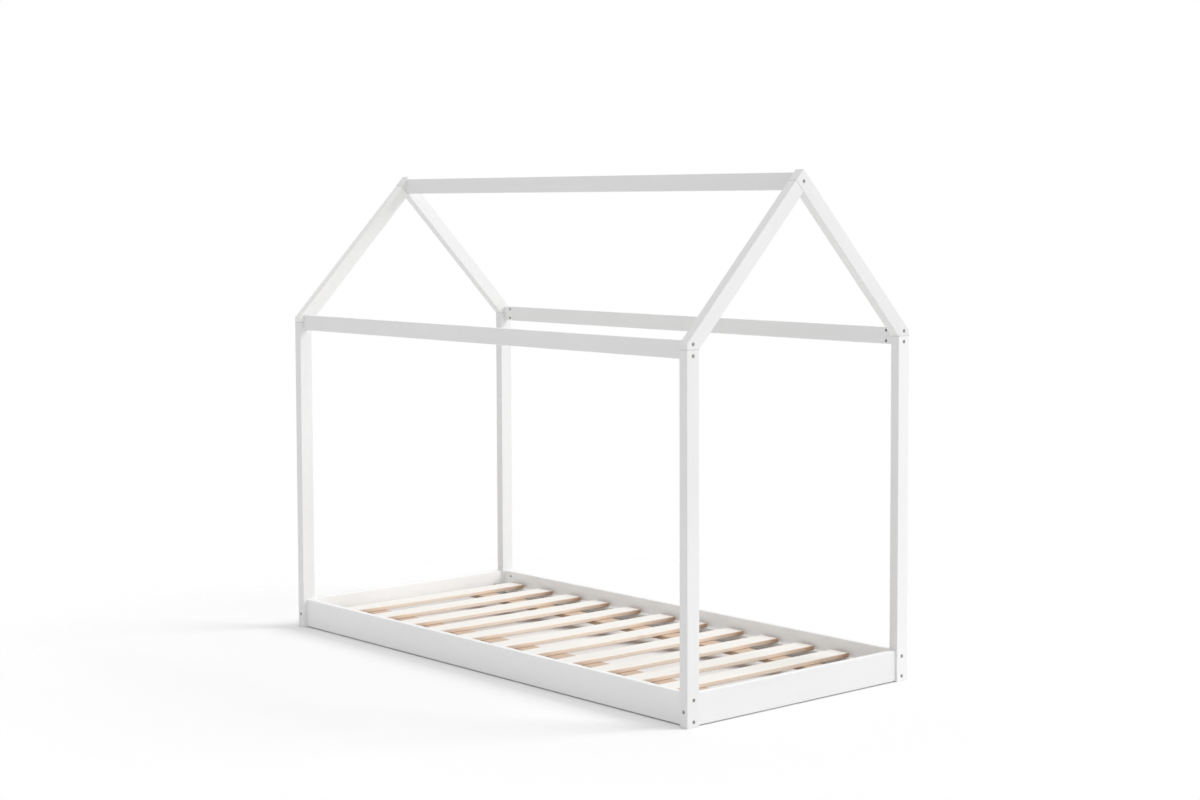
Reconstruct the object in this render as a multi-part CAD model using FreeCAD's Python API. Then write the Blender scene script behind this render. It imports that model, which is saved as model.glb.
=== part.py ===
import FreeCAD, Part
import math
import os

# House frame bed for a 90 x 200 cm mattress. Millimetres, +Z up.
# The origin is on the floor, under the middle of the bed. X runs along the bed, Y across it.
# "left" is -X, "right" is +X, "front" is -Y and "back" is +Y.

# ---- driving dimensions ----
LENGTH = 2060.0            # over the posts
WIDTH = 980.0              # over the posts
PEAK_HEIGHT = 1644.0       # floor to the (uncut) peak of the roof
POST_HEIGHT = 1115.0       # floor to the seam between post and rafter
FRAME_X = 33.0             # post and rafter timber, size along X
FRAME_Y = 50.0             # post and rafter timber, the wide way
FOOT_CUT = 18.0            # short upright cut at a rafter's foot
PEAK_FLAT = 1.5            # how much is taken off the sharp peak

SIDE_BOARD_THICK = 22.0
END_BOARD_THICK = 20.0
BOARD_HEIGHT = 98.0
BOARD_CLEARANCE = 3.0      # floor to the boards' lower edge
RAIL_THICK = 18.0          # top rails and ridge beam
RAIL_HEIGHT = 54.0
SIDE_RECESS = 16.0         # boards and rails sit this far inside the posts' outer Y faces
END_RECESS = 6.0           # end boards sit this far inside the posts' outer X faces
RAIL_ABOVE_SEAM = 26.0     # a top rail spans the seam between post and rafter
RIDGE_BELOW_PEAK = 11.0

SLAT_COUNT = 12
SLAT_WIDTH = 80.0
SLAT_THICK = 14.0
SLAT_LENGTH = 880.0
SLAT_TOP = 64.0            # height of the lying surface
SLAT_FIRST = 88.0          # left edge of the first slat, from the bed's left end
SLAT_PITCH = 168.7
# The slats are spread by eye, so each lies a little off its even place.
SLAT_DRIFT = (0, 6, 3, -7, 0, 14, 9, 20, 19, 15, 2, 0)

LEDGER_WIDTH = 30.0
LEDGER_HEIGHT = 24.0
LEDGER_END_GAP = 5.0
CARRIER_OFFSET = 255.0     # a carrier's middle, from the bed's middle line

EASE = 2.0                 # rounded arrises of the painted timber
SEAM_EASE = 0.8            # shallow groove round the joints where two timbers meet flush
SLAT_CORNER = 8.0          # corners of a slat, seen from above
SLAT_EASE = 3.0

BOLT_R = 3.0               # M6 furniture bolts with cross-dowel barrel nuts
BOLT_HOLE_R = 3.5
BOLT_HEAD_R = 5.8
BOLT_HEAD_THICK = 4.0
BOLT_HEAD_SUNK = 2.0       # face of the head under the wood's face
COUNTERBORE_R = 6.3
HEX_SOCKET = 5.0           # across flats
HEX_DEPTH = 2.6
NUT_R = 4.9
NUT_HOLE_R = 5.1
NUT_LENGTH = 12.0
NUT_BORE_R = 3.1
NUT_SLOT = 1.4
NUT_HOLE_SPARE = 0.5       # the nut's hole is this much deeper than the nut
NUT_FROM_END = 35.0        # nut's axis from the end of its board or rail
BOLT_PAST_NUT = 8.0

BOARD_BOLTS_Z = (82.0, 17.0)
END_BOLT_Z = 48.0
RAIL_BOLTS_FROM_SEAM = (16.0, -18.0)

DOWEL_R = 4.0
DOWEL_LENGTH = 40.0
DOWEL_SPARE = 1.0
FOOT_DOWEL_SPREAD = 12.5   # the two dowels of a rafter's foot lie this far each side of its bolts
APEX_DOWEL_UP = 0.29       # share of the apex seam, from its lower end, where its dowel sits
SCREW_R = 1.75
SCREW_HEAD_R = 3.8
LEDGER_SCREW_LENGTH = 46.0
CARRIER_SCREW_LENGTH = 24.0
SCREW_HEAD_DEPTH = 2.4
SCREW_CROSS = 0.9          # width of the cross in a screw's head
FIT = 0.1                  # radial clearance round screws and dowels

# ---- places worked out from them ----
HALF_L = LENGTH / 2
HALF_W = WIDTH / 2
PITCH = (PEAK_HEIGHT - POST_HEIGHT - FOOT_CUT) / HALF_W     # rise of the roof per mm across
POST_IN_X = HALF_L - FRAME_X           # posts' inner X faces
POST_IN_Y = HALF_W - FRAME_Y           # posts' inner Y faces
BOARD_TOP = BOARD_CLEARANCE + BOARD_HEIGHT
SIDE_BOARD_OUT = HALF_W - SIDE_RECESS
SIDE_BOARD_IN = SIDE_BOARD_OUT - SIDE_BOARD_THICK
END_BOARD_OUT = HALF_L - END_RECESS
END_BOARD_IN = END_BOARD_OUT - END_BOARD_THICK
RAIL_OUT = SIDE_BOARD_OUT
RAIL_IN = RAIL_OUT - RAIL_THICK
RAIL_TOP = POST_HEIGHT + RAIL_ABOVE_SEAM
RIDGE_TOP = PEAK_HEIGHT - RIDGE_BELOW_PEAK
RIDGE_BOLT_Z = RIDGE_TOP - RAIL_HEIGHT / 2
SLAT_UNDER = SLAT_TOP - SLAT_THICK
CARRIER_UNDER = SLAT_UNDER - SLAT_THICK
SCREW_HOLE_R = SCREW_R + FIT

X = FreeCAD.Vector(1, 0, 0)
Y = FreeCAD.Vector(0, 1, 0)
Z = FreeCAD.Vector(0, 0, 1)
SIDES = (("front", -1), ("back", 1))
ENDS = (("left", -1), ("right", 1))


def vec(x, y, z):
    return FreeCAD.Vector(x, y, z)


def block(x0, x1, y0, y1, z0, z1):
    """A box between two values on each axis, given in either order."""
    low = vec(min(x0, x1), min(y0, y1), min(z0, z1))
    return Part.makeBox(abs(x1 - x0), abs(y1 - y0), abs(z1 - z0), low)


def rod(radius, start, direction, length):
    return Part.makeCylinder(radius, length, start, direction)


def eased(shape, radius, axis):
    """Rounds the edges that run along an axis."""
    edges = [e for e in shape.Edges if abs(e.tangentAt(e.FirstParameter).dot(axis)) > 0.999]
    return shape.makeFillet(radius, edges)


def seam_groove(one, two, inward, end):
    """A thin ring round the joint face that runs from one to two across a gable's timber."""
    along = (two - one).normalize()
    outwards = X * end

    def slab(spare, deep):
        start = one - along * spare - outwards * spare
        finish = two + along * spare - outwards * spare
        ring = [start, finish, finish + inward * deep, start + inward * deep, start]
        return Part.Face(Part.makePolygon(ring)).extrude(outwards * (FRAME_X + 2 * spare))

    return slab(5.0, SEAM_EASE).cut(slab(-SEAM_EASE, 2 * SEAM_EASE))


def chamfered(shape, point, normal):
    """Chamfers the outline of the face that lies in a plane."""
    face = next(f for f in shape.Faces if all(abs((v.Point - point).dot(normal)) < 1e-4 for v in f.Vertexes))
    return shape.makeChamfer(SEAM_EASE, face.Edges)


def cut_all(shape, tools):
    return shape.cut(Part.makeCompound(tools)) if tools else shape


# ---- fasteners: each function gives the solid, and its partner gives the room it needs ----
def bolt(face, direction, length):
    """A furniture bolt whose head lies sunk under a face; direction points into the wood."""
    seat = face + direction * BOLT_HEAD_SUNK
    head = rod(BOLT_HEAD_R, seat, direction, BOLT_HEAD_THICK)
    shank = rod(BOLT_R, seat + direction * BOLT_HEAD_THICK, direction, length)
    across_corners = HEX_SOCKET / math.sqrt(3)
    side = direction.cross(Z) if abs(direction.dot(Z)) < 0.9 else X
    up = direction.cross(side)
    turns = [math.radians(60 * i) for i in range(7)]
    ring = [seat + side * (across_corners * math.cos(a)) + up * (across_corners * math.sin(a)) for a in turns]
    socket = Part.Face(Part.makePolygon(ring)).extrude(direction * HEX_DEPTH)
    return head.fuse(shank).cut(socket)


def bolt_room(face, direction, depth):
    """Counterbore for the head and a clearance hole as deep as the bolt goes."""
    start = face - direction
    bore = rod(COUNTERBORE_R, start, direction, 1 + BOLT_HEAD_SUNK + BOLT_HEAD_THICK)
    return bore.fuse(rod(BOLT_HOLE_R, start, direction, 1 + depth))


def barrel_nut(bolt_point, out, bolt_axis):
    """A cross dowel about the bolt's axis; out points to the face that it was put in from."""
    start = bolt_point - out * (NUT_LENGTH / 2)
    body = rod(NUT_R, start, out, NUT_LENGTH)
    body = body.cut(rod(NUT_BORE_R, bolt_point - bolt_axis * NUT_R * 2, bolt_axis, NUT_R * 4))
    mouth = bolt_point + out * (NUT_LENGTH / 2)
    size = bolt_axis * NUT_R * 2 + out.cross(bolt_axis) * NUT_SLOT + out
    corner = mouth - bolt_axis * NUT_R - out.cross(bolt_axis) * (NUT_SLOT / 2) - out
    far = corner + size + out
    return body.cut(block(corner.x, far.x, corner.y, far.y, corner.z, far.z))


def nut_room(bolt_point, out, to_face):
    start = bolt_point - out * (NUT_LENGTH / 2 + NUT_HOLE_SPARE)
    return rod(NUT_HOLE_R, start, out, NUT_LENGTH / 2 + NUT_HOLE_SPARE + to_face + 1)


def screw(face, direction, length):
    """A countersunk screw, its head flush with a face."""
    head = Part.makeCone(SCREW_HEAD_R, SCREW_R, SCREW_HEAD_DEPTH, face, direction)
    shank = rod(SCREW_R, face + direction * SCREW_HEAD_DEPTH, direction, length - SCREW_HEAD_DEPTH)
    side = direction.cross(Z) if abs(direction.dot(Z)) < 0.9 else X
    arms = []
    for one, other in ((side, direction.cross(side)), (direction.cross(side), side)):
        low = face - one * (SCREW_HEAD_R / 2) - other * (SCREW_CROSS / 2) - direction
        high = face + one * (SCREW_HEAD_R / 2) + other * (SCREW_CROSS / 2) + direction * SCREW_CROSS
        arms.append(block(low.x, high.x, low.y, high.y, low.z, high.z))
    return cut_all(head.fuse(shank), arms)


def screw_room(face, direction, length):
    slope = (SCREW_HEAD_R - SCREW_R) / SCREW_HEAD_DEPTH
    wide = SCREW_HEAD_R + FIT
    head = Part.makeCone(wide, SCREW_HOLE_R, (wide - SCREW_HOLE_R) / slope, face, direction)
    return head.fuse(rod(SCREW_HOLE_R, face, direction, length + FIT))


def dowel(middle, direction):
    return rod(DOWEL_R, middle - direction * (DOWEL_LENGTH / 2), direction, DOWEL_LENGTH)


def dowel_room(middle, direction):
    half = DOWEL_LENGTH / 2 + DOWEL_SPARE
    return rod(DOWEL_R + FIT, middle - direction * half, direction, 2 * half)


# ---- roof lines, in the YZ plane, for the front half; the back half mirrors them ----
def outer_line(y):
    """Height of a rafter's outer face at a distance y from the posts' outer face."""
    return POST_HEIGHT + FOOT_CUT + y * PITCH


def inner_line(y):
    return POST_HEIGHT + (y - FRAME_Y) * PITCH


SEAM_Y = (WIDTH - FRAME_Y) / 2 - FOOT_CUT / (2 * PITCH)     # where the apex seam meets the outer face
SEAM_TOP = (SEAM_Y - HALF_W, outer_line(SEAM_Y))
SEAM_FOOT = (0.0, inner_line(HALF_W))


def rafter_outline(side):
    """The back rafter runs through to the peak, and the front one butts against its inner face."""
    foot = [(-HALF_W, POST_HEIGHT + FOOT_CUT), (-HALF_W, POST_HEIGHT), (-POST_IN_Y, POST_HEIGHT)]
    if side < 0:
        return foot + [SEAM_FOOT, SEAM_TOP]
    flat = PEAK_FLAT / PITCH
    peak = PEAK_HEIGHT - PEAK_FLAT
    return foot + [(-SEAM_TOP[0], SEAM_TOP[1]), (flat, peak), (-flat, peak)]


def prism(outline, side, x0, x1):
    """An outline in (y, z), mirrored for the back side, drawn out along X."""
    ring = [vec(x0, y if side < 0 else -y, z) for y, z in outline]
    return Part.Face(Part.makePolygon(ring + ring[:1])).extrude(X * (x1 - x0))


def rafter_eased(shape):
    """Rounds the long arrises and the short upright ones over the post."""
    def wanted(edge):
        one, two = edge.Vertexes[0].Point, edge.Vertexes[-1].Point
        flat_seam = abs((two - one).dot(X)) > 1 or abs(two.z - one.z) < 1
        near_apex = max(one.z, two.z) > SEAM_FOOT[1] - 1 and edge.Length < 100
        return not flat_seam and not near_apex
    return shape.makeFillet(EASE, [e for e in shape.Edges if wanted(e)])


# ---- bolted corners: every bolt with its nut, as rows of places ----
def end_bolts(z, y, span):
    """Bolts along X through both gables into the two ends of one board or rail."""
    rows = []
    for _, end in ENDS:
        face = vec(end * HALF_L, y, z)
        rows.append((face, X * -end, vec(end * (span - NUT_FROM_END), y, z)))
    return rows


def side_bolts(x, z):
    """Bolts along Y through two posts into the two ends of an end board."""
    rows = []
    for _, side in SIDES:
        face = vec(x, side * HALF_W, z)
        rows.append((face, Y * -side, vec(x, side * (POST_IN_Y - NUT_FROM_END), z)))
    return rows


BOARD_MID_Y = (SIDE_BOARD_OUT + SIDE_BOARD_IN) / 2
RAIL_MID_Y = (RAIL_OUT + RAIL_IN) / 2
END_MID_X = (END_BOARD_OUT + END_BOARD_IN) / 2
RAIL_BOLTS_Z = [POST_HEIGHT + dz for dz in RAIL_BOLTS_FROM_SEAM]

BOARD_ROWS = {side: [r for z in BOARD_BOLTS_Z for r in end_bolts(z, side * BOARD_MID_Y, POST_IN_X)]
              for _, side in SIDES}
RAIL_ROWS = {side: [r for z in RAIL_BOLTS_Z for r in end_bolts(z, side * RAIL_MID_Y, POST_IN_X)]
             for _, side in SIDES}
RIDGE_ROWS = end_bolts(RIDGE_BOLT_Z, 0.0, POST_IN_X)
END_ROWS = {end: side_bolts(end * END_MID_X, END_BOLT_Z) for _, end in ENDS}


def bolt_depth(row):
    """How far a bolt's tip lies under the outer face of the post."""
    face, direction, nut = row
    return (nut - face).dot(direction) + BOLT_PAST_NUT


def bolt_of(row):
    face, direction, _ = row
    return bolt(face, direction, bolt_depth(row) - BOLT_HEAD_SUNK - BOLT_HEAD_THICK)


def room_of(row):
    face, direction, _ = row
    return bolt_room(face, direction, bolt_depth(row) + 1)


def foot_dowels(end, side):
    x = end * (HALF_L - FRAME_X / 2)
    return [vec(x, side * (RAIL_MID_Y + dy), POST_HEIGHT) for dy in (-FOOT_DOWEL_SPREAD, FOOT_DOWEL_SPREAD)]


def apex_dowel(end):
    """A place on the seam between the two rafters of a gable, clear of the ridge bolt."""
    y = SEAM_FOOT[0] + APEX_DOWEL_UP * (SEAM_TOP[0] - SEAM_FOOT[0])
    z = SEAM_FOOT[1] + APEX_DOWEL_UP * (SEAM_TOP[1] - SEAM_FOOT[1])
    return vec(end * (HALF_L - FRAME_X / 2), y, z)


FOOT_DOWELS = {(end, side): foot_dowels(end, side) for _, end in ENDS for _, side in SIDES}
APEX_DOWELS = {end: apex_dowel(end) for _, end in ENDS}
APEX_DIRECTION = vec(0, 1, 1 / PITCH).normalize()           # square to the apex seam


def slat_left(i):
    return -HALF_L + SLAT_FIRST + i * SLAT_PITCH + SLAT_DRIFT[i]


def slat_mid(i):
    return slat_left(i) + SLAT_WIDTH / 2


LEDGER_SCREWS_X = [-HALF_L + 140 + i * (LENGTH - 280) / 5 for i in range(6)]
LEDGER_SCREW_Z = SLAT_UNDER - LEDGER_HEIGHT / 2
LEDGER_IN = SIDE_BOARD_IN - LEDGER_WIDTH
LEDGER_SCREWS = {side: [(vec(x, side * LEDGER_IN, LEDGER_SCREW_Z), Y * side) for x in LEDGER_SCREWS_X]
                 for _, side in SIDES}
CARRIER_SCREWS = {side: [(vec(slat_mid(i), side * CARRIER_OFFSET, CARRIER_UNDER), Z)
                         for i in range(SLAT_COUNT)]
                  for _, side in SIDES}


# ---- the wooden pieces ----
def post(end, side):
    shape = block(end * POST_IN_X, end * HALF_L, side * POST_IN_Y, side * HALF_W, 0, POST_HEIGHT)
    shape = eased(shape, EASE, Z)
    shape = chamfered(shape, vec(0, 0, POST_HEIGHT), Z)
    shape = chamfered(shape, vec(0, 0, 0), Z)
    rows = BOARD_ROWS[side] + RAIL_ROWS[side] + END_ROWS[end]
    tools = [room_of(r) for r in rows] + [dowel_room(at, Z) for at in FOOT_DOWELS[end, side]]
    return cut_all(shape, tools)


def rafter(end, side):
    shape = rafter_eased(prism(rafter_outline(side), side, end * POST_IN_X, end * HALF_L))
    tools = [room_of(r) for r in RAIL_ROWS[side] + RIDGE_ROWS]
    foot = [vec(end * POST_IN_X, side * y, POST_HEIGHT) for y in (POST_IN_Y, HALF_W)]
    tools.append(seam_groove(foot[0], foot[1], Z, end))
    if side < 0:
        apex = [vec(end * POST_IN_X, *SEAM_FOOT), vec(end * POST_IN_X, *SEAM_TOP)]
        tools.append(seam_groove(apex[0], apex[1], APEX_DIRECTION * -1, end))
    tools += [dowel_room(at, Z) for at in FOOT_DOWELS[end, side]]
    tools.append(dowel_room(APEX_DOWELS[end], APEX_DIRECTION))
    return cut_all(shape, tools)


def long_piece(y_out, y_in, z0, z1, rows, nut_out):
    """A board, rail or ridge along X between the gables, drilled for its bolts and nuts."""
    shape = eased(block(-POST_IN_X, POST_IN_X, y_out, y_in, z0, z1), EASE, X)
    to_face = abs(y_out - y_in) / 2
    tools = [room_of(r) for r in rows] + [nut_room(nut, nut_out, to_face) for _, _, nut in rows]
    return cut_all(shape, tools)


def side_board(side):
    shape = long_piece(side * SIDE_BOARD_OUT, side * SIDE_BOARD_IN, BOARD_CLEARANCE, BOARD_TOP,
                       BOARD_ROWS[side], Y * -side)
    return cut_all(shape, [screw_room(at, way, LEDGER_SCREW_LENGTH) for at, way in LEDGER_SCREWS[side]])


def top_rail(side):
    return long_piece(side * RAIL_OUT, side * RAIL_IN, RAIL_TOP - RAIL_HEIGHT, RAIL_TOP,
                      RAIL_ROWS[side], Y * -side)


def ridge_beam():
    return long_piece(-RAIL_THICK / 2, RAIL_THICK / 2, RIDGE_TOP - RAIL_HEIGHT, RIDGE_TOP, RIDGE_ROWS, Y)


def end_board(end):
    shape = eased(block(end * END_BOARD_OUT, end * END_BOARD_IN, -POST_IN_Y, POST_IN_Y,
                        BOARD_CLEARANCE, BOARD_TOP), EASE, Y)
    rows = END_ROWS[end]
    tools = [room_of(r) for r in rows]
    tools += [nut_room(nut, X * -end, END_BOARD_THICK / 2) for _, _, nut in rows]
    return cut_all(shape, tools)


def ledger(side):
    reach = POST_IN_X - LEDGER_END_GAP
    shape = block(-reach, reach, side * SIDE_BOARD_IN, side * LEDGER_IN,
                  SLAT_UNDER - LEDGER_HEIGHT, SLAT_UNDER)
    return cut_all(shape, [screw_room(at, way, LEDGER_SCREW_LENGTH) for at, way in LEDGER_SCREWS[side]])


def slat(i):
    x0 = slat_left(i)
    shape = block(x0, x0 + SLAT_WIDTH, -SLAT_LENGTH / 2, SLAT_LENGTH / 2, SLAT_UNDER, SLAT_TOP)
    shape = eased(shape, SLAT_CORNER, Z)
    level = [e for e in shape.Edges if abs(e.Vertexes[0].Z - e.Vertexes[-1].Z) < 1e-6]
    shape = shape.makeFillet(SLAT_EASE, level)
    screws = [CARRIER_SCREWS[side][i] for _, side in SIDES]
    return cut_all(shape, [screw_room(at, way, CARRIER_SCREW_LENGTH) for at, way in screws])


def slat_carrier(side):
    """A plank of slat stock under all the slats, which are screwed to it from below."""
    y = side * CARRIER_OFFSET
    x0 = slat_left(0)
    x1 = slat_left(SLAT_COUNT - 1) + SLAT_WIDTH
    shape = eased(block(x0, x1, y - SLAT_WIDTH / 2, y + SLAT_WIDTH / 2, CARRIER_UNDER, SLAT_UNDER), EASE, X)
    return cut_all(shape, [screw_room(at, way, CARRIER_SCREW_LENGTH) for at, way in CARRIER_SCREWS[side]])


# ---- every node, and the groups of identical fasteners ----
def all_nodes():
    nodes = {}
    for end_name, end in ENDS:
        nodes[f"end_board_{end_name}"] = end_board(end)
        for side_name, side in SIDES:
            nodes[f"post_{side_name}_{end_name}"] = post(end, side)
            nodes[f"rafter_{side_name}_{end_name}"] = rafter(end, side)
    for side_name, side in SIDES:
        nodes[f"side_board_{side_name}"] = side_board(side)
        nodes[f"top_rail_{side_name}"] = top_rail(side)
        nodes[f"slat_ledger_{side_name}"] = ledger(side)
        nodes[f"slat_carrier_{side_name}"] = slat_carrier(side)
    nodes["ridge_beam"] = ridge_beam()
    for i in range(SLAT_COUNT):
        nodes[f"slat_{i + 1:02d}"] = slat(i)

    board_rows = [(r, Y * -side) for _, side in SIDES for r in BOARD_ROWS[side]]
    rail_rows = [(r, Y * -side) for _, side in SIDES for r in RAIL_ROWS[side]]
    ridge_rows = [(r, Y) for r in RIDGE_ROWS]
    end_rows = [(r, X * -end) for _, end in ENDS for r in END_ROWS[end]]
    groups = {"side_board": board_rows, "top_rail": rail_rows, "ridge": ridge_rows, "end_board": end_rows}
    for name, rows in groups.items():
        nodes[f"{name}_bolts"] = [bolt_of(r) for r, _ in rows]
        nodes[f"{name}_barrel_nuts"] = [barrel_nut(nut, out, way) for (_, way, nut), out in rows]
    nodes["rafter_foot_dowels"] = [dowel(at, Z) for places in FOOT_DOWELS.values() for at in places]
    nodes["apex_dowels"] = [dowel(at, APEX_DIRECTION) for at in APEX_DOWELS.values()]
    nodes["ledger_screws"] = [screw(at, way, LEDGER_SCREW_LENGTH) for rows in LEDGER_SCREWS.values()
                              for at, way in rows]
    nodes["carrier_screws"] = [screw(at, way, CARRIER_SCREW_LENGTH) for rows in CARRIER_SCREWS.values()
                               for at, way in rows]
    return nodes


def main():
    os.makedirs("parts", exist_ok=True)
    nodes = all_nodes()
    for name, made in nodes.items():
        solids = [s for piece in (made if isinstance(made, list) else [made]) for s in piece.Solids]
        shape = Part.makeCompound(solids) if len(solids) > 1 else solids[0]
        shape.exportStep(f"parts/{name}.step")
        box = shape.BoundBox
        print(f"{name}: {len(solids)} solid(s), valid {shape.isValid()}, {box.XLength:.1f} x "
              f"{box.YLength:.1f} x {box.ZLength:.1f} mm")
    print(len(nodes), "nodes")


main()
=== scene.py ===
import math

import bpy
from mathutils import Matrix, Vector


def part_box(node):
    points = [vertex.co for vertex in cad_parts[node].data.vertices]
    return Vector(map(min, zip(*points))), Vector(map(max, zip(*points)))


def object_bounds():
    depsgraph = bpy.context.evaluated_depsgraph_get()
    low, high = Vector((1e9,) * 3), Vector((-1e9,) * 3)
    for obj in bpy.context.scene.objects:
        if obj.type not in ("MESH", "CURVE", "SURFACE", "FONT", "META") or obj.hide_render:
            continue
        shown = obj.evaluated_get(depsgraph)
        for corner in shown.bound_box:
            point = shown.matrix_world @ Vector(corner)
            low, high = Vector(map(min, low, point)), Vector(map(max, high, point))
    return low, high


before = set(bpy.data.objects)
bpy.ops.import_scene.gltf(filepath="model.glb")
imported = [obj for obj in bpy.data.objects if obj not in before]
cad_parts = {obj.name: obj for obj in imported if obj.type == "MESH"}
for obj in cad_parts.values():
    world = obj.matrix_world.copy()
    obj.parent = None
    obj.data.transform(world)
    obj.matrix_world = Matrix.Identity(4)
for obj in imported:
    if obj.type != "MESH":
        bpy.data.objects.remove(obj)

cad_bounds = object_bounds()

# ---- the bed's measures in metres: four small ones that no box shows, and the rest from the frame ----
PEAK_FLAT = 0.0015                          # what is taken off the sharp peak
FOOT_CUT = 0.018                            # height of the upright cut at a rafter's foot
LIT_ZONE_INTO = 0.0005                          # the zone of painted light between the boards reaches this far into them
LIT_ZONE_ABOVE = 0.009                          # and this far above them

post_low, post_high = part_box("post_back_right")
end_board_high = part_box("end_board_left")[1]
side_board_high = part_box("side_board_front")[1]

SEAM_Z = post_high.z                        # where the rafters stand on the posts
RAFTER_INNER_Y = post_low.y
ROOF_SLOPE = (cad_bounds[1][2] + PEAK_FLAT - SEAM_Z - FOOT_CUT) / post_high.y
ROOF_ANGLE = math.atan(ROOF_SLOPE)
LIT_ZONE_X = abs(end_board_high.x) + LIT_ZONE_INTO
LIT_ZONE_Y = abs(side_board_high.y) + LIT_ZONE_INTO
LIT_ZONE_Z = side_board_high.z + LIT_ZONE_ABOVE

# ---- shared by the materials ----
# A fade holds the ends of a span: no effect at the first value, full effect at the second. Where it has
# four numbers, the last two are the effects at those ends.
NOISE_MIDDLE = (0.3, 0.7)                   # where most of a noise lies
GRAIN_APART = 40.0                          # a piece's grain is offset by up to this much on each axis

# How the coordinates are turned, so that the grain of a piece that runs this way lies along Z.
GRAIN_TURN = {
    "x": (0, -math.pi / 2, 0),
    "y": (math.pi / 2, 0, 0),
    "z": (0, 0, 0),
    "front_slope": (math.pi / 2 - ROOF_ANGLE, 0, 0),
    "back_slope": (ROOF_ANGLE - math.pi / 2, 0, 0),
}


class Tree:
    """Short calls that build a node tree. Most return the output that the next call takes."""

    def __init__(self, owner):
        owner.use_nodes = True
        self.tree = owner.node_tree
        self.tree.nodes.clear()

    def put(self, socket, value):
        if isinstance(value, bpy.types.NodeSocket):
            self.tree.links.new(value, socket)
        else:
            socket.default_value = value

    def add(self, kind, inputs=None, **settings):
        node = self.tree.nodes.new(kind)
        for key, value in settings.items():
            setattr(node, key, value)
        for name, value in (inputs or {}).items():
            self.put(node.inputs[name], value)
        return node

    def mix(self, factor, one, two, kind="RGBA"):
        node = self.add("ShaderNodeMix", data_type=kind)
        *places, result = {"RGBA": (0, 6, 7, 2), "FLOAT": (0, 2, 3, 0)}[kind]
        for place, value in zip(places, (factor, one, two)):
            self.put(node.inputs[place], value)
        return node.outputs[result]

    def blend(self, factor, one, two):
        node = self.add("ShaderNodeMixShader", {"Fac": factor})
        self.put(node.inputs[1], one.outputs[0])
        self.put(node.inputs[2], two.outputs[0])
        return node.outputs[0]

    def math(self, operation, one, two=0.0):
        return self.add("ShaderNodeMath", {0: one, 1: two}, operation=operation).outputs[0]

    def distance(self, one, two):
        return self.math("ABSOLUTE", self.math("SUBTRACT", one, two))

    def span(self, value, low, high, to_low=0.0, to_high=1.0, kind="SMOOTHSTEP"):
        inputs = {"Value": value, "From Min": low, "From Max": high, "To Min": to_low, "To Max": to_high}
        return self.add("ShaderNodeMapRange", inputs, interpolation_type=kind).outputs["Result"]

    def place(self, kind="Object"):
        return self.add("ShaderNodeTexCoord").outputs[kind]

    def parts(self, vector):
        return self.add("ShaderNodeSeparateXYZ", {0: vector}).outputs

    def stretched(self, space, scale):
        return self.add("ShaderNodeMapping", {"Vector": space, "Scale": scale}).outputs["Vector"]

    def noise(self, space, detail, scale=1.0, roughness=0.5):
        inputs = {"Vector": space, "Scale": scale, "Detail": detail, "Roughness": roughness}
        return self.add("ShaderNodeTexNoise", inputs).outputs

    def relief(self, height, strength, distance):
        inputs = {"Strength": strength, "Distance": distance, "Height": height}
        return self.add("ShaderNodeBump", inputs).outputs["Normal"]

    def surface(self, colour, roughness, relief, others):
        inputs = {"Base Color": colour, "Roughness": roughness, "Normal": relief, **others}
        shader = self.add("ShaderNodeBsdfPrincipled", inputs)
        self.add("ShaderNodeOutputMaterial", {"Surface": shader.outputs[0]})


def grain_space(tree, grain):
    """Object coordinates turned so that the grain runs along Z, with a different offset on every piece."""
    inputs = {"Vector": tree.place(), "Rotation": GRAIN_TURN[grain]}
    turned = tree.add("ShaderNodeMapping", inputs).outputs["Vector"]
    chance = tree.add("ShaderNodeObjectInfo").outputs["Random"]
    away = tree.math("MULTIPLY", chance, GRAIN_APART)
    offset = tree.add("ShaderNodeCombineXYZ", {"X": away, "Y": away, "Z": away}).outputs["Vector"]
    return tree.add("ShaderNodeVectorMath", {0: turned, 1: offset}, operation="ADD").outputs["Vector"]


# ---- white paint ----
PAINT_TONES = ((0.815, 0.818, 0.822, 1), (0.845, 0.845, 0.846, 1))
# Painted light: a lighter white on the boards' inner faces, on what lies between them and on the far front
# rafter, for light that the lamps bring too little of.
PAINTED_LIGHT_TONE = (0.905, 0.905, 0.900, 1)
STREAK_TONE = (0.76, 0.755, 0.745, 1)
CRACK_TONE = (0.36, 0.355, 0.35, 1)
STREAK_STRETCH = (140, 140, 3.0)            # how dense the noise is: across the grain both ways, and along it
STREAK_FADE = (0.62, 0.30, 0.0, 0.10)
CLOUD_STRETCH = (5, 5, 1.4)
CRACK_FADE = (0.0006, 0.0002)               # distance from the seam
ORANGE_PEEL = 420.0                         # how dense the paint's own fine relief is
PEEL_SHARE = 0.25                           # of the relief; the rest is the streaks
PAINT_RELIEF = (0.10, 0.0006)               # strength, distance
PAINT_ROUGHNESS = (0.46, 0.54)
PAINT_SPECULAR = 0.32


def painted_light_between_boards(tree, at):
    """1 on the boards' inner faces and on what lies between them, and 0 elsewhere: the zone of painted light.
    """
    inside_x = tree.math("LESS_THAN", tree.math("ABSOLUTE", at["X"]), LIT_ZONE_X)
    inside_y = tree.math("LESS_THAN", tree.math("ABSOLUTE", at["Y"]), LIT_ZONE_Y)
    low = tree.math("LESS_THAN", at["Z"], LIT_ZONE_Z)
    return tree.math("MULTIPLY", tree.math("MULTIPLY", inside_x, inside_y), low)


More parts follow.
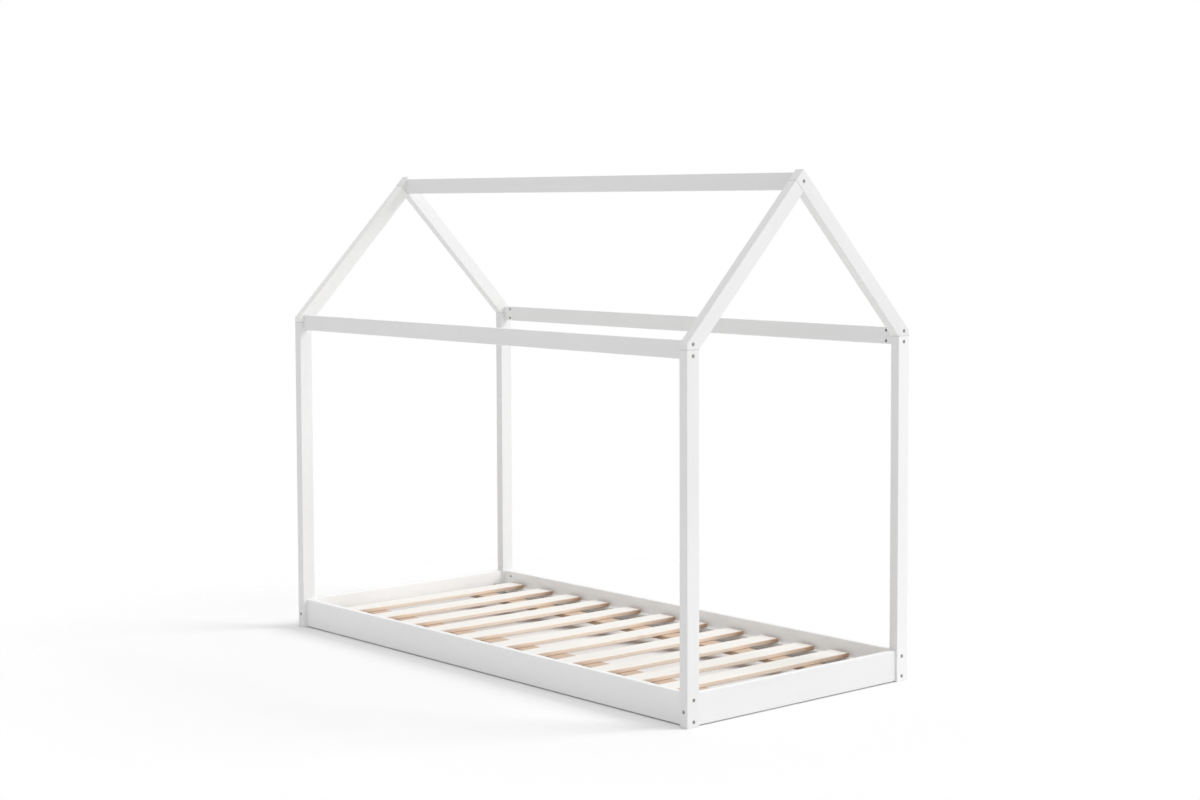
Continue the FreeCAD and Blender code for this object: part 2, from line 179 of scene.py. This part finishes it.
def cracks(tree, at):
    """1 in the paint's cracks: at the seams of posts and rafters, and at the rafters' seam in each peak."""
    from_foot = tree.distance(at["Z"], SEAM_Z)
    # The peak's seam lies in the plane of the back rafter's inner face, in front of the middle line.
    rise = tree.math("ADD", at["Z"], tree.math("MULTIPLY", at["Y"], ROOF_SLOPE))
    above = tree.distance(rise, SEAM_Z + RAFTER_INNER_Y * ROOF_SLOPE)
    behind = tree.math("GREATER_THAN", at["Y"], 0.0)
    from_peak = tree.math("ADD", tree.math("MULTIPLY", above, math.cos(ROOF_ANGLE)), behind)
    return tree.span(tree.math("MINIMUM", from_foot, from_peak), *CRACK_FADE)


def white_paint(name, grain, joints=False, painted_light_all_over=False):
    """Satin white paint on planed softwood: the grain shows as faint streaks and a very shallow relief.

    With joints, the paint has cracked along the seams. Painted light: between the boards, or over the whole
    piece when asked, the white is painted lighter, for light that the lamps bring too little of.
    """
    material = bpy.data.materials.new(name)
    tree = Tree(material)
    space = grain_space(tree, grain)
    at = tree.parts(tree.place())
    streaks = tree.noise(tree.stretched(space, STREAK_STRETCH), detail=4.0, roughness=0.6)["Fac"]
    clouds = tree.noise(tree.stretched(space, CLOUD_STRETCH), detail=2.0)["Fac"]
    orange_peel = tree.noise(space, detail=1.0, scale=ORANGE_PEEL)["Fac"]
    colour = tree.mix(tree.span(clouds, *NOISE_MIDDLE), *PAINT_TONES)
    # Painted light: the lighter white between the boards, or on the whole piece.
    colour = tree.mix(1.0 if painted_light_all_over else painted_light_between_boards(tree, at), colour, PAINTED_LIGHT_TONE)
    colour = tree.mix(tree.span(streaks, *STREAK_FADE), colour, STREAK_TONE)
    if joints:
        colour = tree.mix(cracks(tree, at), colour, CRACK_TONE)
    roughness = tree.span(clouds, *NOISE_MIDDLE, *PAINT_ROUGHNESS)
    relief = tree.relief(tree.mix(PEEL_SHARE, streaks, orange_peel, "FLOAT"), *PAINT_RELIEF)
    tree.surface(colour, roughness, relief, {"Specular IOR Level": PAINT_SPECULAR})
    return material


# ---- bare pine ----
EARLY_WOOD = (0.800, 0.700, 0.590, 1)
LATE_WOOD = (0.660, 0.490, 0.350, 1)
FIBRE_TONE = (0.62, 0.46, 0.33, 1)
KNOT_TONE = (0.34, 0.19, 0.10, 1)
RING_STRETCH = (1, 1, 0.05)
RING_SHAPE = {"Scale": 34.0, "Distortion": 3.0, "Detail": 2.0, "Detail Scale": 1.2}
RING_FADE = (0.35, 0.95, 0.0, 0.35)
WANDER_STRETCH = (6, 6, 1.6)
WANDER_SHARE = 0.06                         # how much noise bends the rings
FIBRE_STRETCH = (420, 420, 7)
FIBRE_FADE = (0.35, 0.75, 0.0, 0.20)
KNOT_STRETCH = (6, 6, 2.6)
KNOT_FADE = (0.075, 0.03)                   # distance from a knot's middle

# Painted light and shade by which way a face looks: tops painted paler, as if lit from above, and faces below
# painted darker brown, as in shade.
LIT_TOP_TONE, LIT_TOP_SHARE = (0.842, 0.834, 0.806, 1), 0.88
EDGE_TONE, EDGE_SHARE = (0.96, 0.83, 0.71, 1), 0.75
SHADED_UNDER_TONE, SHADED_UNDER_SHARE = (0.55, 0.35, 0.22, 1), 0.70
# Painted shade: a carrier under the slats is darkened brown all over.
CARRIER_SHADE_TONE, CARRIER_SHADE_SHARE = (0.50, 0.33, 0.21, 1), 0.75
# Painted shade at a slat's ends, laid over the end grain's own darker tone.
END_GRAIN_AND_SHADE_TONE = (0.46, 0.285, 0.180, 1)
LIT_TOP_FADE = (0.55, 0.98)                   # height of the face's normal
SHADED_UNDER_FADE = (-0.5, -0.95)

# Fades over a slat's box, where 0 is the middle and 0.5 is the end or the side.
SIDE_FADE = (0.34, 0.505)
END_FADE = (0.488, 0.497, 0.0, 0.80)
ARRIS_FADE = (0.43, 0.48)
ALONG_ARRIS_FADE = (0.20, 0.50, 0.0, 0.70)

FIBRE_SHARE = 0.5                           # of the relief; the rest is the rings
PINE_RELIEF = (0.18, 0.0005)                # strength, distance
PINE_ROUGHNESS = (0.58, 0.70)
PINE_SPECULAR = 0.25


def growth_rings(tree, space):
    """Rings round the piece's length, drawn out along it and a little uneven."""
    wander = tree.noise(tree.stretched(space, WANDER_STRETCH), detail=2.0)["Color"]
    bent = tree.mix(WANDER_SHARE, space, wander)
    inputs = {"Vector": tree.stretched(bent, RING_STRETCH), **RING_SHAPE}
    return tree.add("ShaderNodeTexWave", inputs, wave_type="RINGS", rings_direction="Z").outputs["Fac"]


def knots(tree, space):
    """1 in the few knots and 0 elsewhere."""
    inputs = {"Vector": tree.stretched(space, KNOT_STRETCH), "Scale": 1.0, "Randomness": 1.0}
    away = tree.add("ShaderNodeTexVoronoi", inputs).outputs["Distance"]
    return tree.span(away, *KNOT_FADE)


def slat_end_grain_and_shade(tree, lit_top):
    """How brown a slat is, partly the end grain's own tone and partly painted shade: full at its sawn ends,
    and running a little way along its sides and arrises.
    """
    box = tree.parts(tree.place("Generated"))
    across, along = (tree.distance(box[axis], 0.5) for axis in "XY")
    side = tree.math("MULTIPLY", tree.span(along, *SIDE_FADE), tree.math("SUBTRACT", 1.0, lit_top))
    end = tree.span(along, *END_FADE)
    arris = tree.math("MULTIPLY", tree.span(across, *ARRIS_FADE), tree.span(along, *ALONG_ARRIS_FADE))
    return tree.math("MAXIMUM", tree.math("MAXIMUM", side, end), arris)


def pine(name, grain, slat):
    """Planed pine, with painted light and shade: faces that look up are painted pale as if lit, the sides are
    warm, and faces below are painted brown as shade.

    A slat's ends are browner, partly the end grain's own tone and partly painted shade, and a carrier is
    painted darker brown all over as shade.
    """
    material = bpy.data.materials.new(name)
    tree = Tree(material)
    space = grain_space(tree, grain)
    rings = growth_rings(tree, space)
    fibres = tree.noise(tree.stretched(space, FIBRE_STRETCH), detail=3.0)["Fac"]
    wood = tree.mix(tree.span(rings, *RING_FADE), EARLY_WOOD, LATE_WOOD)
    wood = tree.mix(tree.span(fibres, *FIBRE_FADE), wood, FIBRE_TONE)
    wood = tree.mix(knots(tree, space), wood, KNOT_TONE)
    # Painted light and shade: the face's normal picks a painted lit top and a painted shaded underside.
    facing = tree.parts(tree.add("ShaderNodeNewGeometry").outputs["Normal"])["Z"]
    lit_top = tree.span(facing, *LIT_TOP_FADE)
    edge_wood = tree.mix(EDGE_SHARE, wood, EDGE_TONE)
    lit_top_wood = tree.mix(LIT_TOP_SHARE, wood, LIT_TOP_TONE)
    shaded_under_wood = tree.mix(SHADED_UNDER_SHARE, wood, SHADED_UNDER_TONE)
    colour = tree.mix(lit_top, edge_wood, lit_top_wood)
    colour = tree.mix(tree.span(facing, *SHADED_UNDER_FADE), colour, shaded_under_wood)
    if slat:
        # Slat ends: the end grain's own tone and painted shade.
        colour = tree.mix(slat_end_grain_and_shade(tree, lit_top), colour, END_GRAIN_AND_SHADE_TONE)
    else:
        # Painted shade on the carrier, which lies under the slats.
        colour = tree.mix(CARRIER_SHADE_SHARE, colour, CARRIER_SHADE_TONE)
    roughness = tree.span(fibres, *NOISE_MIDDLE, *PINE_ROUGHNESS)
    relief = tree.relief(tree.mix(FIBRE_SHARE, rings, fibres, "FLOAT"), *PINE_RELIEF)
    tree.surface(colour, roughness, relief, {"Specular IOR Level": PINE_SPECULAR})
    return material


# ---- the small parts ----
METAL_GRIT = 900.0
WOOD_GRIT = 500.0
ROUGHNESS_SPREAD = 0.06
SMALL_RELIEF = (0.2, 0.0003)                # strength, distance


def speckled(name, dark, light, grit_scale, middle, metallic=0.0):
    """A small part's finish: two tones mixed by fine noise, a roughness about middle and a little relief."""
    material = bpy.data.materials.new(name)
    tree = Tree(material)
    grit = tree.noise(tree.place(), detail=3.0, scale=grit_scale)["Fac"]
    colour = tree.mix(tree.span(grit, *NOISE_MIDDLE), dark, light)
    roughness = tree.span(grit, *NOISE_MIDDLE, middle - ROUGHNESS_SPREAD, middle + ROUGHNESS_SPREAD)
    tree.surface(colour, roughness, tree.relief(grit, *SMALL_RELIEF), {"Metallic": metallic})
    return material


# ---- finishes on the CAD nodes ----
PAINT = {
    "x": white_paint("paint_along_x", "x"),
    "y": white_paint("paint_along_y", "y"),
    "z": white_paint("paint_along_z", "z", joints=True),
    "front_rafter": white_paint("paint_up_front_slope", "front_slope", joints=True),
    # The far front rafter's white is painted lighter all over: painted light for light that the lamps bring
    # too little of.
    "lit_far_front_rafter": white_paint("paint_up_far_slope_painted_light", "front_slope", joints=True, painted_light_all_over=True),
    "back_rafter": white_paint("paint_up_back_slope", "back_slope", joints=True),
}
CARRIER_PINE = pine("pine_along_x", "x", slat=False)
SLAT_PINE = pine("pine_along_y", "y", slat=True)
BOLT = speckled("bolt_steel", (0.43, 0.41, 0.37, 1), (0.57, 0.55, 0.51, 1), METAL_GRIT, 0.48, 0.8)
NUT = speckled("nut_steel", (0.16, 0.16, 0.155, 1), (0.26, 0.255, 0.25, 1), METAL_GRIT, 0.42, 0.9)
ZINC = speckled("zinc", (0.50, 0.50, 0.49, 1), (0.68, 0.68, 0.66, 1), METAL_GRIT, 0.35, 1.0)
BEECH = speckled("beech", (0.50, 0.33, 0.20, 1), (0.66, 0.48, 0.32, 1), WOOD_GRIT, 0.6)

# A node's finish goes by how its name ends, or else by how it starts, and the first match counts.
BY_ENDING = (
    ("_bolts", BOLT),
    ("_barrel_nuts", NUT),
    ("_screws", ZINC),
    ("_dowels", BEECH),
)
BY_START = (
    ("post_", PAINT["z"]),
    ("rafter_front_left", PAINT["lit_far_front_rafter"]),
    ("rafter_front", PAINT["front_rafter"]),
    ("rafter_back", PAINT["back_rafter"]),
    ("end_board_", PAINT["y"]),
    ("side_board_", PAINT["x"]),
    ("top_rail_", PAINT["x"]),
    ("ridge_beam", PAINT["x"]),
    ("slat_ledger_", PAINT["x"]),
    ("slat_carrier_", CARRIER_PINE),
    ("slat_", SLAT_PINE),
)


def finish_of(name):
    """The material for the CAD node of that name."""
    for ending, material in BY_ENDING:
        if name.endswith(ending):
            return material
    return next(material for start, material in BY_START if name.startswith(start))


for node_name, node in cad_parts.items():
    node.data.materials.clear()
    node.data.materials.append(finish_of(node_name))


# ---- floor: pale and matt, running out into the white background, and see-through from below ----
FLOOR_SIZE = 24.0
FLOOR_TONES = ((0.882, 0.882, 0.884, 1), (0.890, 0.890, 0.891, 1))
FLOOR_GRIT = 3.0
FLOOR_FADE = (1.05, 2.40)                   # distance from the middle


def floor_material():
    material = bpy.data.materials.new("studio_floor")
    tree = Tree(material)
    place = tree.place()
    grit = tree.noise(place, detail=3.0, scale=FLOOR_GRIT)["Fac"]
    matt = tree.add("ShaderNodeBsdfDiffuse", {"Color": tree.mix(grit, *FLOOR_TONES)})
    clear = tree.add("ShaderNodeBsdfTransparent")
    far = tree.add("ShaderNodeVectorMath", {0: place}, operation="LENGTH").outputs["Value"]
    below = tree.add("ShaderNodeNewGeometry").outputs["Backfacing"]
    gone = tree.math("MAXIMUM", tree.span(far, *FLOOR_FADE), below)
    tree.add("ShaderNodeOutputMaterial", {"Surface": tree.blend(gone, matt, clear)})
    return material


bpy.ops.mesh.primitive_plane_add(size=FLOOR_SIZE, location=(0, 0, 0))
floor = bpy.context.object
floor.name = "floor"
floor.data.materials.append(floor_material())


# ---- light: a white room that is brighter below the horizon, two lamps and three reflector cards ----
AMBIENT = 0.58                              # the even room, above the horizon
SWEEP = 0.88                                # the white sweep below it, around the floor
SWEEP_LEAN = 0.11                           # how much brighter the sweep is to the front and to the right
SWEEP_EDGE = (-0.02, 0.0)                   # heights of a ray, over which the sweep turns into the room
ROOM_TINT = (1.0, 0.998, 0.995, 1)
WHITE = (1.0, 1.0, 1.0, 1)
KEY = (1.46, (0.86, 1.06, 1.0), 28.0)       # strength, where it comes from, angle of its disc in degrees
TOP = (0.85, (0.0, 0.16, 1.0), 60.0)
CARD_ANGLE = 30.0
LAMP_STAND = 5.0                            # scales where a lamp stands, which its light doesn't depend on
FAR_FRAME = ("post_front_left", "post_back_left", "post_back_right", "rafter_back_left")
CARDS = (                                   # name, strength, where it comes from, the nodes it reaches
    ("card_side_boards", 0.26, (0.2, -1.0, 0.15), ("side_board_front", "side_board_back")),
    ("card_end_board", 0.54, (1.0, -0.1, 0.15), ("end_board_left",)),
    ("card_far_posts", 0.24, (1.0, 0.16, 0.15), FAR_FRAME),
)


def room():
    """A white room: it is plain white where it is seen or mirrored, and gives its light by direction."""
    world = bpy.data.worlds.new("room")
    tree = Tree(world)
    ray = tree.add("ShaderNodeLightPath").outputs
    mirrored = tree.math("MAXIMUM", ray["Is Glossy Ray"], ray["Is Transmission Ray"])
    seen = tree.math("MAXIMUM", ray["Is Camera Ray"], mirrored)
    toward = tree.parts(tree.place("Generated"))
    lean = tree.math("MULTIPLY", tree.math("SUBTRACT", toward["X"], toward["Y"]), SWEEP_LEAN)
    sweep = tree.math("ADD", lean, SWEEP)
    glow = tree.span(toward["Z"], *SWEEP_EDGE, sweep, AMBIENT, "LINEAR")
    lit = tree.add("ShaderNodeBackground", {"Color": ROOM_TINT, "Strength": glow})
    white = tree.add("ShaderNodeBackground", {"Color": WHITE, "Strength": 1.0})
    tree.add("ShaderNodeOutputWorld", {"Surface": tree.blend(seen, lit, white)})
    return world


def sun(name, strength, where, angle):
    """A lamp that shines from that direction, as a disc of that many degrees."""
    lamp = bpy.data.lights.new(name, "SUN")
    lamp.energy = strength
    lamp.angle = math.radians(angle)
    light = bpy.data.objects.new(name, lamp)
    light.rotation_mode = "QUATERNION"
    light.rotation_quaternion = Vector(where).to_track_quat("Z", "Y")
    light.location = Vector(where) * LAMP_STAND
    bpy.context.scene.collection.objects.link(light)
    return light


def reflector(name, strength, where, reached):
    """A card near the floor, which lifts the shaded faces of the nodes that it reaches."""
    card = sun(name, strength, where, CARD_ANGLE)
    group = bpy.data.collections.new(name)
    for node_name in reached:
        group.objects.link(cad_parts[node_name])
    card.light_linking.receiver_collection = group


bpy.context.scene.world = room()
sun("key", *KEY)
sun("top", *TOP)
for card in CARDS:
    reflector(*card)


# ---- camera: the photo's, in the row frame, with a shift because the photo is cropped off centre ----
CAMERA_AT = (5.5201, -4.7622, 1.5450)
YAW, PITCH, ROLL = (math.radians(angle) for angle in (-40.7943, -3.7745, -0.2258))
LENS_MM = 64.206
SENSOR_MM = 36.0
SHIFT = (0.01398, -0.04720)
CLIP_END = 100.0


def photo_camera():
    ahead = Vector((-math.cos(YAW) * math.cos(PITCH), -math.sin(YAW) * math.cos(PITCH), math.sin(PITCH)))
    level = ahead.cross(Vector((0, 0, 1))).normalized()
    upright = level.cross(ahead)
    right = level * math.cos(ROLL) + upright * math.sin(ROLL)
    up = upright * math.cos(ROLL) - level * math.sin(ROLL)
    lens = bpy.data.cameras.new("photo")
    lens.sensor_width = SENSOR_MM
    lens.lens = LENS_MM
    lens.shift_x, lens.shift_y = SHIFT
    lens.clip_end = CLIP_END
    camera = bpy.data.objects.new("photo", lens)
    camera.matrix_world = Matrix.Translation(CAMERA_AT) @ Matrix((right, up, -ahead)).transposed().to_4x4()
    bpy.context.scene.collection.objects.link(camera)
    return camera


bpy.context.scene.camera = photo_camera()
bpy.context.scene.view_settings.view_transform = "Standard"
